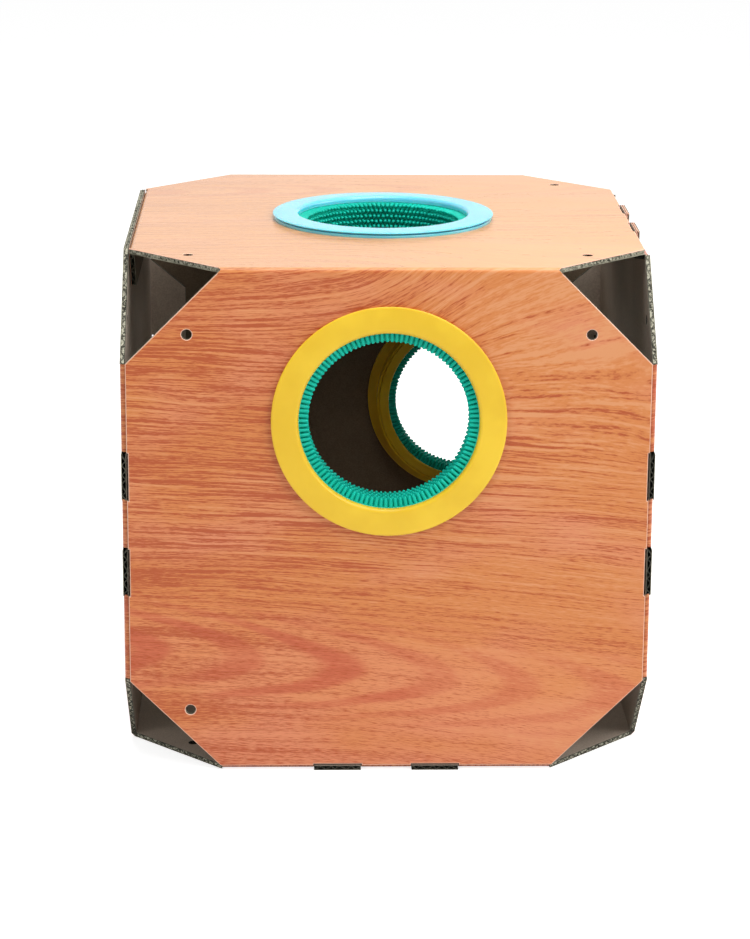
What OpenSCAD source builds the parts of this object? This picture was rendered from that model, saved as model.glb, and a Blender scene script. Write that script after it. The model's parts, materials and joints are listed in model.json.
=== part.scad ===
// Folding cardboard play box for a cat, with three grooming rings.
// Origin at the middle of the footprint on the floor, +Z up, front towards -Y, millimetres.

/* [Box] */
// Outside width, left to right
box_w = 400; // [380:1:480]
// Outside depth, front to back
box_d = 400; // [380:1:480]
// Outside height
box_h = 394; // [386:1:480]
// Thickness of the corrugated board
board_t = 4; // [3:0.1:6]
// Length cut off each panel's corners along both edges
corner_cut = 77; // [50:1:85]
// Clearance between board edges that meet
board_fit = 0.3; // [0.2:0.05:0.6]
// Gap in the creases that the front and back panels swing on
crease_gap = 0.2; // [0.1:0.05:0.4]

/* [Tie holes] */
// Diameter of the tie holes near the panel corners
tie_hole_d = 8; // [5:0.5:12]
// Distance from the box's edges to the tie holes
tie_hole_in = 50; // [46:1:60]

/* [Flaps and tabs] */
// Depth of the flaps that turn in behind the cover panels
flap_depth = 30; // [20:1:31]
// Distance from a corner cut to the flap's end
flap_end_in = 1; // [0.5:0.5:14]
// Slant of the flap's ends
flap_end_angle = 40; // [0:1:50]
// Width of the tabs that stand in the cover's notches
tab_w = 36; // [20:1:44]
// Distance between the two tabs on an edge
tab_pitch = 75; // [60:1:90]
// Width of the slit beside each tab
tab_slit = 0.6; // [0.4:0.1:1.5]
// Depth of the notches in the cover's edges
notch_depth = 1.2; // [0.8:0.1:3]

/* [Ring positions] */
// Distance from the box's top down to the front ring's centre
front_ring_drop = 116; // [112:1:160]
// Distance from the box's right side to the back ring's centre, seen from the front
back_ring_in = 122; // [121:1:200]

/* [Rings] */
// Diameter of the clear bore inside the cap ring
bore_d = 135; // [120:1:138]
// Clearance between ring pieces, and between ring and board
ring_fit = 0.3; // [0.2:0.05:0.5]
// Outside diameter of the cap ring
cap_d = 176; // [174:1:190]
// Thickness of the cap ring's rim
cap_t = 1.8; // [1.2:0.1:3]
// Wall of the cap ring's skirt inside the sleeve
skirt_wall = 2.5; // [2:0.1:4.5]
// Radius of the cap ring's rounded inner lip
lip_round = 3; // [1:0.1:4]
// Radius of the rounded edges of cap, flange and retainer
edge_round = 0.7; // [0.3:0.1:0.8]
// Height of the parting groove between cap rim and flange
groove_h = 1; // [0.6:0.1:2]
// Depth of the parting groove, measured in from the flange's edge
groove_depth = 2; // [1:0.1:4]
// Outside diameter of the sleeve's flange
flange_d = 169; // [168:1:176]
// Thickness of the sleeve's flange
flange_t = 2.2; // [1.8:0.1:4]
// Wall of the sleeve's collar
collar_wall = 4.2; // [2:0.1:4.5]
// Thickness of the lip that holds the comb at the collar's inner end
end_lip_t = 2; // [1.2:0.1:4]
// Width of that lip, measured in from the comb's outside
end_lip_w = 3.4; // [1:0.1:5.5]
// Radius of the snap bead round the collar
bead_r = 0.8; // [0.5:0.1:1.2]
// Outside diameter of the retainer's flange
retainer_d = 169; // [164:1:170]
// Thickness of the retainer's flange
retainer_t = 4; // [2.5:0.1:6]
// Wall of the retainer's hub round the collar
hub_wall = 2.1; // [1.8:0.1:4]
// Bevel inside the hub's end, which leaves a groove beside the collar
hub_bevel = 1.2; // [0.4:0.1:1.5]

/* [Combs] */
// Wall of the comb's soft band
comb_wall = 2.8; // [2.4:0.1:5]
// Length of the comb's band along the bore
comb_len = 22; // [20:0.5:30]
// Length of the comb's nubs
nub_len = 7.2; // [4:0.1:12]
// Width of a nub at its root
nub_root = 2.8; // [2:0.1:3.2]
// Width of a nub at its tip
nub_tip = 1.6; // [1:0.1:2]
// Distance between rows of nubs
nub_row_pitch = 4.3; // [3.8:0.1:4.6]
// Rows of nubs along the bore
nub_rows = 5; // [3:1:5]
// Nubs round the bore in each row
nubs_per_row = 30; // [20:1:33]

/* [Hidden] */

$fn = 96;
// Overshoot of cutting tools past the face that they cut
past = 1;
// Straight pieces in each rounded corner of a ring's profile
arc_steps = 6;

board_print = [0.86, 0.55, 0.36];
yellow = [0.97, 0.8, 0.22];
sky_blue = [0.36, 0.83, 0.92];
green = [0.05, 0.6, 0.5];

// Panels seen from outside: reach is where the corner cuts cross the panel's axes
wide_reach = box_w / 2 + box_h / 2 - corner_cut;
side_reach = box_d / 2 + box_h / 2 - corner_cut;
flat_reach = box_w / 2 + box_d / 2 - corner_cut;

// Half sizes to the inside faces, and to the edges of boards that fit between them
in_x = box_w / 2 - board_t;
in_y = box_d / 2 - board_t;
in_z = box_h / 2 - board_t;
fit_x = in_x - board_fit;
fit_y = in_y - board_fit;
fit_z = in_z - board_fit;

// Ring radii, from the bore outwards
bore_r = bore_d / 2;
skirt_out_r = bore_r + skirt_wall;
collar_in_r = skirt_out_r + ring_fit;
collar_out_r = collar_in_r + collar_wall;
hole_r = collar_out_r + ring_fit;
hub_out_r = hole_r + hub_wall;
flange_r = flange_d / 2;
cap_r = cap_d / 2;
retainer_r = retainer_d / 2;

// Ring heights above the panel's outer face, inwards negative
cap_rim_s = flange_t + groove_h;
cap_top_s = cap_rim_s + cap_t;
comb_front_s = -ring_fit;
comb_back_s = comb_front_s - comb_len;
collar_end_s = comb_back_s - ring_fit - end_lip_t;
retainer_s = -board_t - retainer_t;
bead_s = (retainer_s + collar_end_s) / 2;

// Places of the panels: local X to the right and Y up as seen from outside, Z outwards
module on_front() translate([0, -box_d / 2, box_h / 2]) rotate([90, 0, 0]) children();
module on_back() translate([0, box_d / 2, box_h / 2]) rotate([90, 0, 180]) children();
module on_left() translate([-box_w / 2, 0, box_h / 2]) rotate([90, 0, -90]) children();
module on_right() translate([box_w / 2, 0, box_h / 2]) rotate([90, 0, 90]) children();
module on_top() translate([0, 0, box_h]) children();
module on_bottom() rotate([180, 0, 0]) children();

// Places of the rings on their panels
module at_front_ring() translate([0, box_h / 2 - front_ring_drop, 0]) children();
module at_back_ring() translate([back_ring_in - box_w / 2, 0, 0]) children();

// Turns what is built on a panel's upper edge to its right, lower or left edge
module to_right_edge() rotate([0, 0, -90]) children();
module to_lower_edge() rotate([0, 0, 180]) children();
module to_left_edge() rotate([0, 0, 90]) children();

// Corners of a panel: a rectangle cut on the lines |x| + |y| = reach
function blank_points(x0, x1, y0, y1, reach) = [
    [x1, x1 - reach], [x1, reach - x1],
    [reach - y1, y1], [y1 - reach, y1],
    [x0, reach + x0], [x0, -reach - x0],
    [-reach - y0, y0], [reach + y0, y0]
];

module blank(x0, x1, y0, y1, reach) {
    translate([0, 0, -board_t])
        linear_extrude(board_t)
            polygon(blank_points(x0, x1, y0, y1, reach));
}

// Part of a bend along the upper edge, turned from the outer face towards the edge
module bend(centre_y, length, angle) {
    translate([length / 2, centre_y, -board_t])
        rotate([0, -90, 0])
            rotate_extrude(angle = angle)
                square([board_t, length]);
}

// Half of a crease between two panels, mitred where the panels meet
module half_crease(edge, half_w, half_h, reach) {
    intersection() {
        bend(edge, 2 * half_w, 45);
        blank(-half_w, half_w, -half_h, half_h, reach);
    }
}

// Slot that keeps a swinging panel's mitre clear of the panel that it hangs on
module crease_clearance(edge, length) {
    translate([-length / 2, edge, -board_t])
        rotate([45, 0, 0])
            cube([length, 2 * board_t, crease_gap]);
}

// Repeats a child at the two tab places along an edge
module at_tabs() for (side = [-1, 1]) translate([side * tab_pitch / 2, 0, 0]) children();

// Notches in a cover panel's upper edge
module notches(edge) {
    width = tab_w + 2 * tab_slit;
    at_tabs()
        translate([-width / 2, edge - notch_depth, -board_t - past])
            cube([width, notch_depth + past, board_t + 2 * past]);
}

// Strip of a blank that a bend takes the place of
module bend_strip(edge, span) {
    translate([-span / 2, edge - board_t, -board_t - past])
        cube([span, board_t + past, board_t + 2 * past]);
}

// Flap with slanted ends, turned in along the upper edge
module plain_flap(edge, span) {
    slant = flap_depth * tan(flap_end_angle);
    bend(edge - board_t, span, 90);
    translate([0, edge, -board_t])
        rotate([90, 0, 0])
            linear_extrude(board_t)
                polygon([
                    [-span / 2, 0], [span / 2, 0],
                    [span / 2 - slant, -flap_depth], [slant - span / 2, -flap_depth]
                ]);
}

// Flap whose tabs stay in the panel's own plane and reach out to tab_end
module tabbed_flap(edge, span, tab_end) {
    tab_len = tab_end - edge;
    slot_w = tab_w + 2 * tab_slit;
    difference() {
        plain_flap(edge, span);
        at_tabs()
            translate([-slot_w / 2, edge - board_t - past, -board_t - tab_len])
                cube([slot_w, board_t + 2 * past, board_t + tab_len + past]);
    }
    at_tabs()
        translate([-tab_w / 2, edge - board_t, -board_t])
            cube([tab_w, board_t + tab_len, board_t]);
}

// Tie holes in all corners but one
module tie_holes(w, h, skipped) {
    for (sx = [-1, 1], sy = [-1, 1])
        if ([sx, sy] != skipped)
            translate([sx * (w / 2 - tie_hole_in), sy * (h / 2 - tie_hole_in), -board_t - past])
                cylinder(d = tie_hole_d, h = board_t + 2 * past);
}

module ring_hole() {
    translate([0, 0, -board_t - past])
        cylinder(r = hole_r, h = board_t + 2 * past);
}

// Span of the flaps on an edge of the given length, between the corner cuts of the board's own edge
function flap_span(length) = length - 2 * (corner_cut - board_t - board_fit + flap_end_in);

// Front or back panel without its ring hole and tie holes
module swing_panel() {
    difference() {
        union() {
            blank(-fit_x, fit_x, -fit_z, in_z, wide_reach);
            half_crease(in_z, box_w / 2, box_h / 2, wide_reach);
        }
        crease_clearance(in_z, box_w);
        to_right_edge() notches(fit_x);
        to_left_edge() notches(fit_x);
        to_lower_edge() notches(fit_z);
    }
}

module front_panel() {
    color(board_print)
        on_front()
            difference() {
                swing_panel();
                at_front_ring() ring_hole();
                tie_holes(box_w, box_h, [1, -1]);
            }
}

module back_panel() {
    color(board_print)
        on_back()
            difference() {
                swing_panel();
                at_back_ring() ring_hole();
                tie_holes(box_w, box_h, [1, 1]);
            }
}

// Top panel, with a tuck flap down its left edge inside the left panel
module top_panel() {
    tuck_span = flap_span(box_d);
    color(board_print)
        on_top() {
            difference() {
                union() {
                    blank(-fit_x, fit_x, -in_y, in_y, flat_reach);
                    half_crease(in_y, box_w / 2, box_d / 2, flat_reach);
                    to_lower_edge() half_crease(in_y, box_w / 2, box_d / 2, flat_reach);
                }
                to_right_edge() notches(fit_x);
                to_left_edge() bend_strip(fit_x, tuck_span);
                ring_hole();
                tie_holes(box_w, box_d, [-1, 1]);
            }
            to_left_edge() plain_flap(fit_x, tuck_span);
        }
}

// Side panel up to the given upper edge, with flaps behind the front and back panels
module side_panel(upper_edge, skipped_hole) {
    span = flap_span(box_h);
    difference() {
        union() {
            blank(-fit_y, fit_y, -in_z, upper_edge, side_reach);
            to_lower_edge() half_crease(in_z, box_d / 2, box_h / 2, side_reach);
        }
        to_right_edge() bend_strip(fit_y, span);
        to_left_edge() bend_strip(fit_y, span);
        tie_holes(box_d, box_h, skipped_hole);
    }
    to_right_edge() tabbed_flap(fit_y, span, box_d / 2);
    to_left_edge() tabbed_flap(fit_y, span, box_d / 2);
}

// Left panel, whose upper edge stands bare beside the top panel
module left_panel() {
    color(board_print)
        on_left() side_panel(box_h / 2, [-1, 1]);
}

// Right panel, with one more flap under the top panel
module right_panel() {
    span = flap_span(box_d);
    color(board_print)
        on_right() {
            difference() {
                side_panel(fit_z, [-1, -1]);
                bend_strip(fit_z, span);
            }
            tabbed_flap(fit_z, span, box_h / 2);
        }
}

// Bottom panel between the two side panels
module bottom_panel() {
    span = flap_span(box_w);
    color(board_print)
        on_bottom() {
            difference() {
                union() {
                    blank(-in_x, in_x, -fit_y, fit_y, flat_reach);
                    to_right_edge() half_crease(in_x, box_d / 2, box_w / 2, flat_reach);
                    to_left_edge() half_crease(in_x, box_d / 2, box_w / 2, flat_reach);
                }
                bend_strip(fit_y, span);
                to_lower_edge() bend_strip(fit_y, span);
                tie_holes(box_w, box_d, [1, 1]);
            }
            tabbed_flap(fit_y, span, box_d / 2);
            to_lower_edge() tabbed_flap(fit_y, span, box_d / 2);
        }
}

// Points of an arc round a centre, from one angle to another
function arc(centre, radius, from, to) = [
    for (i = [0 : arc_steps])
        centre + radius * [cos(from + (to - from) * i / arc_steps), sin(from + (to - from) * i / arc_steps)]
];

// Cap ring: rim, seat on the flange and skirt into the sleeve, with a rounded lip
module ring_cap() {
    e = edge_round;
    rotate_extrude()
        polygon(concat(
            [[bore_r, 0], [skirt_out_r, 0], [skirt_out_r, flange_t], [flange_r - groove_depth, flange_t]],
            [[flange_r - groove_depth, cap_rim_s]],
            arc([cap_r - e, cap_rim_s + e], e, -90, 0),
            arc([cap_r - e, cap_top_s - e], e, 0, 90),
            arc([bore_r + lip_round, cap_top_s - lip_round], lip_round, 90, 180)
        ));
}

// Sleeve: flange on the board, collar through it, snap bead and end lip
module ring_sleeve() {
    e = edge_round;
    lip_r = skirt_out_r - end_lip_w;
    rotate_extrude()
        polygon(concat(
            [[collar_in_r, flange_t]],
            arc([flange_r - e, flange_t - e], e, 90, 0),
            [[flange_r, 0], [collar_out_r, 0]],
            arc([collar_out_r, bead_s], bead_r, 90, -90),
            [[collar_out_r, collar_end_s], [lip_r, collar_end_s]],
            [[lip_r, collar_end_s + end_lip_t], [collar_in_r, collar_end_s + end_lip_t]]
        ));
}

// Retainer: flange against the board's inside and a hub that snaps over the collar's bead
module ring_retainer() {
    e = edge_round;
    snap_r = bead_r + ring_fit;
    snap_angle = acos(ring_fit / snap_r);
    rotate_extrude()
        polygon(concat(
            [[hole_r, collar_end_s + hub_bevel], [hole_r + hub_bevel, collar_end_s]],
            [[hub_out_r, collar_end_s], [hub_out_r, retainer_s]],
            arc([retainer_r - e, retainer_s + e], e, -90, 0),
            [[retainer_r, -board_t], [hole_r, -board_t]],
            arc([collar_out_r, bead_s], snap_r, snap_angle, -snap_angle)
        ));
}

// Comb: soft band with rows of tapered four-sided nubs, as one closed skin
module comb() {
    out_r = skirt_out_r;
    in_r = out_r - comb_wall;
    tip_r = in_r - nub_len;
    columns = 2 * nubs_per_row;
    levels = 2 * nub_rows + 2;
    half_angle = asin(nub_root / 2 / in_r);
    middle_s = (comb_front_s + comb_back_s) / 2;

    function row_s(row) = middle_s + (row - (nub_rows - 1) / 2) * nub_row_pitch;
    function level_s(level) =
        level == 0 ? comb_back_s
        : level == levels - 1 ? comb_front_s
        : row_s(floor((level - 1) / 2)) + (level % 2 == 1 ? -1 : 1) * nub_root / 2;
    function column_angle(column) =
        floor(column / 2) * 360 / nubs_per_row + (column % 2 == 0 ? -1 : 1) * half_angle;
    function on_circle(radius, angle, s) = [radius * cos(angle), radius * sin(angle), s];
    function tip_point(nub, row, across, along) =
        let (angle = nub * 360 / nubs_per_row)
        on_circle(tip_r, angle, row_s(row) + along * nub_tip / 2)
        + across * nub_tip / 2 * [-sin(angle), cos(angle), 0];

    inner = [
        for (level = [0 : levels - 1], column = [0 : columns - 1])
            on_circle(in_r, column_angle(column), level_s(level))
    ];
    outer = [
        for (s = [comb_back_s, comb_front_s], column = [0 : columns - 1])
            on_circle(out_r, column_angle(column), s)
    ];
    tips = [
        for (row = [0 : nub_rows - 1], nub = [0 : nubs_per_row - 1], side = [-1, 1], end = [side, -side])
            tip_point(nub, row, end, side)
    ];

    function inner_at(column, level) = level * columns + column % columns;
    function outer_at(column, end) = len(inner) + end * columns + column % columns;
    function tip_at(nub, row, corner) =
        len(inner) + len(outer) + (row * nubs_per_row + nub) * 4 + corner % 4;
    function is_nub(column, level) = column % 2 == 0 && level % 2 == 1 && level < levels - 1;

    walls = [
        for (level = [0 : levels - 2], column = [0 : columns - 1])
            if (!is_nub(column, level))
                [inner_at(column, level), inner_at(column + 1, level),
                 inner_at(column + 1, level + 1), inner_at(column, level + 1)]
    ];
    back_end = [
        for (column = [0 : columns - 1])
            [inner_at(column + 1, 0), inner_at(column, 0), outer_at(column, 0), outer_at(column + 1, 0)]
    ];
    outside = [
        for (column = [0 : columns - 1])
            [outer_at(column + 1, 0), outer_at(column, 0), outer_at(column, 1), outer_at(column + 1, 1)]
    ];
    front_end = [
        for (column = [0 : columns - 1])
            [inner_at(column, levels - 1), inner_at(column + 1, levels - 1),
             outer_at(column + 1, 1), outer_at(column, 1)]
    ];
    function root_at(nub, row, corner) =
        let (side = corner % 4)
        inner_at(2 * nub + (side == 1 || side == 2 ? 1 : 0), 2 * row + 1 + (side >= 2 ? 1 : 0));
    nub_sides = [
        for (row = [0 : nub_rows - 1], nub = [0 : nubs_per_row - 1], corner = [0 : 3])
            [root_at(nub, row, corner), root_at(nub, row, corner + 1),
             tip_at(nub, row, corner + 1), tip_at(nub, row, corner)]
    ];
    nub_ends = [
        for (row = [0 : nub_rows - 1], nub = [0 : nubs_per_row - 1])
            [for (corner = [0 : 3]) tip_at(nub, row, corner)]
    ];
    quads = concat(walls, back_end, outside, front_end, nub_sides, nub_ends);
    polyhedron(
        points = concat(inner, outer, tips),
        faces = [for (q = quads, half = [[0, 1, 2], [0, 2, 3]]) [for (i = half) q[i]]]
    );
}

module front_ring_cap() color(yellow) on_front() at_front_ring() ring_cap();
module front_ring_sleeve() color(yellow) on_front() at_front_ring() ring_sleeve();
module front_ring_retainer() color(yellow) on_front() at_front_ring() ring_retainer();
module front_comb() color(green) on_front() at_front_ring() comb();

module back_ring_cap() color(yellow) on_back() at_back_ring() ring_cap();
module back_ring_sleeve() color(yellow) on_back() at_back_ring() ring_sleeve();
module back_ring_retainer() color(yellow) on_back() at_back_ring() ring_retainer();
module back_comb() color(green) on_back() at_back_ring() comb();

module top_ring_cap() color(sky_blue) on_top() ring_cap();
module top_ring_sleeve() color(sky_blue) on_top() ring_sleeve();
module top_ring_retainer() color(sky_blue) on_top() ring_retainer();
module top_comb() color(green) on_top() comb();

front_panel();
back_panel();
top_panel();
left_panel();
right_panel();
bottom_panel();
front_ring_cap();
front_ring_sleeve();
front_ring_retainer();
front_comb();
back_ring_cap();
back_ring_sleeve();
back_ring_retainer();
back_comb();
top_ring_cap();
top_ring_sleeve();
top_ring_retainer();
top_comb();
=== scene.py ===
import json
import math
import random

import bpy
import numpy as np
from mathutils import Matrix, Vector
from mathutils.geometry import tessellate_polygon


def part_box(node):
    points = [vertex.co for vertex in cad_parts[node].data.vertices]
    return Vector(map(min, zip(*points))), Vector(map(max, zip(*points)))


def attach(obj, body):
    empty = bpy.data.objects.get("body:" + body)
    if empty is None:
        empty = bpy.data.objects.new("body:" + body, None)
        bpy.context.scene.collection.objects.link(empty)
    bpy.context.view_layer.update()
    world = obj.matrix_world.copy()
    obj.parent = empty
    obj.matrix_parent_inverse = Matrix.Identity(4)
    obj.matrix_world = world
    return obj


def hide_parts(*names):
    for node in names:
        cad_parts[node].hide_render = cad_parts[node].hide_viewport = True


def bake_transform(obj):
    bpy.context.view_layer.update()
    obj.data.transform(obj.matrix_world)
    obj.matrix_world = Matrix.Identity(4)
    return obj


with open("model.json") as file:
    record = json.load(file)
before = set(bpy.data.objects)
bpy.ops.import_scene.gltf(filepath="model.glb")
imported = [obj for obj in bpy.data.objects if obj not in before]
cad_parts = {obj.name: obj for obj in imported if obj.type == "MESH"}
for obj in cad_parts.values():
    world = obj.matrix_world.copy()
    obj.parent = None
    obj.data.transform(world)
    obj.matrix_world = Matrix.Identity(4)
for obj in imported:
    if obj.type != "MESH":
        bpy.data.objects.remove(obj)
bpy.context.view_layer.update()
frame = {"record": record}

# Sizes of the box, read from the frame, in metres
MM = 0.001
HALF_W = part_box("right_panel")[1].x
HALF_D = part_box("back_panel")[1].y
BOX_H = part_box("top_panel")[1].z
HALF_H = BOX_H / 2
BOARD_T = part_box("front_panel")[1].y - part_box("front_panel")[0].y
IN_X = HALF_W - BOARD_T
IN_Y = HALF_D - BOARD_T
IN_Z = HALF_H - BOARD_T

# Die cut of the board
CORNER_CUT = 77 * MM
EDGE_FIT = 0.3 * MM
FIT_X = IN_X - EDGE_FIT
FIT_Y = IN_Y - EDGE_FIT
FIT_Z = IN_Z - EDGE_FIT
TIE_HOLE_R = 4 * MM
TIE_HOLE_IN = 50 * MM
FLAP_DEPTH = 30 * MM
FLAP_END_IN = 1 * MM
FLAP_END_ANGLE = math.radians(40)
TAB_W = 36 * MM
TAB_PITCH = 75 * MM
TAB_SLIT = 0.6 * MM
NOTCH_DEPTH = 1.2 * MM
TAB_PLACES = (TAB_PITCH / 2, -TAB_PITCH / 2)
SLOT_W = TAB_W + 2 * TAB_SLIT

# Make-up of the corrugated board
LINER_T = 0.55 * MM
RIM_W = 0.5 * MM
RIM_DROP = 0.2 * MM
FLUTE_PITCH = 7.8 * MM
FLUTE_STEPS = 12
FLUTE_UNEVEN = 0.45
FLUTE_SWAYS = ((0.37, 0.0), (0.61, 1.0))
MEDIUM_T = 0.45 * MM
BEND_STEPS = 10
BEND_SLACK = 0.7 * MM
BEND_INNER_R = LINER_T / 20
BEND_ARC = BOARD_T * math.pi / 2
QUARTER_BEND = (0.0, math.pi / 2)
MITRE_GAP = math.radians(3)
HALF_BEND = (0.0, math.pi / 4 - MITRE_GAP)
CRUSH_IN = 0.5 * MM
CRUSH_T = 0.4 * MM
CRUSH_LEAST = 60 * MM
HOLE_STEPS = 40
RING_HOLE_STEPS = 128

# Papers of the two sheets: at the rim of the print, between the liners and on the inside
# The cover's inside is darker and the cradle's lighter than one liner paper: painted shade and painted
# light
COVER_PAPERS = ("cut_paper", "fluting_paper", "cover_lining")
# The cradle's near-black fluting is painted shade of its open flute ends
CRADLE_PAPERS = ("fluting_paper", "dark_fluting", "cradle_lining")


# Ring sets, measured on the top set in the frame: radii, and heights above the board's outer face
def half_width(node):
    low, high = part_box(node)
    return (high.x - low.x) / 2


def heights(node):
    low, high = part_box(node)
    return low.z - BOX_H, high.z - BOX_H


RING_STEPS = 240
RING_FIT = 0.3 * MM
FLANGE_EDGE_IN = 0.9 * MM
SKIRT_T = 2.5 * MM
COLLAR_T = 4.2 * MM
HUB_T = 2.1 * MM
END_LIP_IN = 3.4 * MM
GROOVE_DEPTH = 4.5 * MM
CAP_R = half_width("top_ring_cap")
FLANGE_EDGE_R = CAP_R - FLANGE_EDGE_IN
GROOVE_R = CAP_R - GROOVE_DEPTH
RETAINER_R = half_width("top_ring_retainer")
SKIRT_OUT_R = half_width("top_comb")
BORE_R = SKIRT_OUT_R - SKIRT_T
COLLAR_IN_R = SKIRT_OUT_R + RING_FIT
COLLAR_OUT_R = COLLAR_IN_R + COLLAR_T
RING_HOLE_R = COLLAR_OUT_R + RING_FIT
HUB_OUT_R = RING_HOLE_R + HUB_T
END_LIP_R = SKIRT_OUT_R - END_LIP_IN
COLLAR_END, FLANGE_T = heights("top_ring_sleeve")
CAP_TOP = heights("top_ring_cap")[1]
COMB_BACK, COMB_FRONT = heights("top_comb")
GROOVE_H = 1 * MM
RETAINER_T = 4 * MM
RETAINER_FACE = -BOARD_T - RETAINER_T
BEAD_R = 0.8 * MM
BEAD_AT = (RETAINER_FACE + COLLAR_END) / 2
HUB_BEVEL = 1.2 * MM
END_LIP_T = 2 * MM
EDGE_ROUND = 0.7 * MM
LIP_ROUND = 3 * MM
CAP_ROUND = 2.2 * MM
CAP_ROUND_END = 88
CAP_CROWN = 0.35 * MM

# Crown of the cap: distance in from the rim, and share of the crown still to rise there
CROWN_POINTS = ((6 * MM, 0.4), (12 * MM, 0.05))

# Combs of soft nubs
COMB_WALL = 2.8 * MM
COMB_ROOT_R = SKIRT_OUT_R - COMB_WALL
NUB_ROWS = 5
NUBS_PER_ROW = 110
NUB_ROW_PITCH = 4.3 * MM
NUB_ROW_IN = 1.7 * MM
NUB_LEN = 7.2 * MM
NUB_FOOT_DEEP = 0.3 * MM
NUB_FLARE = 0.5 * MM
NUB_ROOT_R = 1.65 * MM
NUB_NECK_R = 0.88 * NUB_ROOT_R
NUB_TIP_R = 1.25 * MM
NUB_TIP_ANGLES = (25, 50, 72)
NUB_SIDES = 10
NUB_LEAN = math.radians(2.5)
NUB_SEED = 7

# Limits for the meshes, and the angles in degrees past which their edges are sharp
WELD = 1e-7
LEAST_AREA = 1e-14
PARALLEL = 1e-6
CUT_DIGITS = 8
BOARD_SHARP = 16
FLUTING_SHARP = 50
RING_SHARP = 32
COMB_SHARP = 40


# Node building
class Nodes:
    """Adds nodes to a tree, with inputs given as values or as the sockets that feed them."""

    def __init__(self, tree):
        self.tree = tree

    def add(self, kind, inputs=None, **settings):
        made = self.tree.nodes.new(kind)
        for name, value in settings.items():
            setattr(made, name, value)
        for name, value in (inputs or {}).items():
            if isinstance(value, bpy.types.NodeSocket):
                self.tree.links.new(value, made.inputs[name])
            else:
                made.inputs[name].default_value = value
        return made

    def group(self, name, inputs):
        return self.add("ShaderNodeGroup", inputs, node_tree=bpy.data.node_groups[name]).outputs

    def math(self, operation, *values):
        inputs = dict(enumerate(values))
        return self.add("ShaderNodeMath", inputs, operation=operation).outputs[0]

    def plus(self, first, second):
        return self.math("ADD", first, second)

    def times(self, first, second):
        return self.math("MULTIPLY", first, second)

    def vector(self, x, y, z):
        return self.add("ShaderNodeCombineXYZ", {"X": x, "Y": y, "Z": z}).outputs[0]

    def noise(self, coords, scale, detail, roughness):
        inputs = {"Vector": coords, "Scale": scale, "Detail": detail, "Roughness": roughness}
        return self.add("ShaderNodeTexNoise", inputs).outputs["Fac"]

    def fade(self, value, low, high, out_low=0.0, out_high=1.0):
        """Turns smoothly from one output to the other while the value goes from low to high."""
        inputs = {"Value": value, "From Min": low, "From Max": high, "To Min": out_low, "To Max": out_high}
        return self.add("ShaderNodeMapRange", inputs, interpolation_type="SMOOTHSTEP").outputs["Result"]

    def mix(self, factor, first, second):
        """Mixes two colours, whose sockets come after those for values and vectors."""
        return self.add("ShaderNodeMix", {0: factor, 6: first, 7: second}, data_type="RGBA").outputs[2]


VALUE, VECTOR, COLOUR = "NodeSocketFloat", "NodeSocketVector", "NodeSocketColor"


def rgb(red, green, blue):
    return (red, green, blue, 1.0)


def new_group(name, inputs, outputs):
    """A new shader node group with its sockets, and the values given to it."""
    tree = bpy.data.node_groups.new(name, "ShaderNodeTree")
    for way, sockets in (("INPUT", inputs), ("OUTPUT", outputs)):
        for label, kind in sockets.items():
            tree.interface.new_socket(label, in_out=way, socket_type=kind)
    nodes = Nodes(tree)
    return nodes, nodes.add("NodeGroupInput").outputs


def empty_nodes(holder):
    holder.use_nodes = True
    holder.node_tree.nodes.clear()
    return Nodes(holder.node_tree)


def new_material(name):
    return empty_nodes(bpy.data.materials.new(name))


def add_surface(nodes, height, strength, distance, inputs):
    """The shader and the output of a material, with a bump made from a height."""
    bump = nodes.add("ShaderNodeBump", {"Height": height, "Strength": strength, "Distance": distance})
    shader = nodes.add("ShaderNodeBsdfPrincipled", {"Normal": bump.outputs["Normal"], **inputs})
    nodes.add("ShaderNodeOutputMaterial", {"Surface": shader.outputs[0]})


# Paper fibres: soft blotches, fine flecks and a felt-like height for every bare paper surface
BLOTCH_SCALE = 28.0


def make_paper_fibre():
    nodes, given = new_group(
        "paper_fibre",
        {"Coords": VECTOR, "Fleck Scale": VALUE, "Fleck Share": VALUE},
        {"Shade": VALUE, "Height": VALUE},
    )
    blotch = nodes.noise(given["Coords"], BLOTCH_SCALE, detail=3.0, roughness=0.6)
    fleck = nodes.noise(given["Coords"], given["Fleck Scale"], detail=3.0, roughness=0.65)
    apart = nodes.math("SUBTRACT", fleck, blotch)
    shade = nodes.math("MULTIPLY_ADD", apart, given["Fleck Share"], blotch)
    nodes.add("NodeGroupOutput", {"Shade": shade, "Height": fleck})


# Moulded skin: faint flow clouding and the fine spark texture of a mould
CLOUDING_SCALE = 22.0


def make_moulded_skin():
    nodes, given = new_group(
        "moulded_skin",
        {"Coords": VECTOR, "Texture Scale": VALUE},
        {"Clouding": VALUE, "Height": VALUE},
    )
    clouding = nodes.noise(given["Coords"], CLOUDING_SCALE, detail=3.0, roughness=0.55)
    texture = nodes.noise(given["Coords"], given["Texture Scale"], detail=2.0, roughness=0.5)
    nodes.add("NodeGroupOutput", {"Clouding": clouding, "Height": texture})


# Wood print: places, lengths and slopes on the unfolded sheet
PRINT_REPEAT = 0.4
FAN_HEIGHT = 0.262
FAN_ROUND = 0.05
GRAIN_TILT = 0.05
ARCH_HEIGHT = 0.08
ARCH_SLOPE = -0.1
ARCH_HALF = 0.036
ARCH_BOW = 0.12
ARCH_PITCH = 0.072
ARCH_PHASE = 4.6

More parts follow.
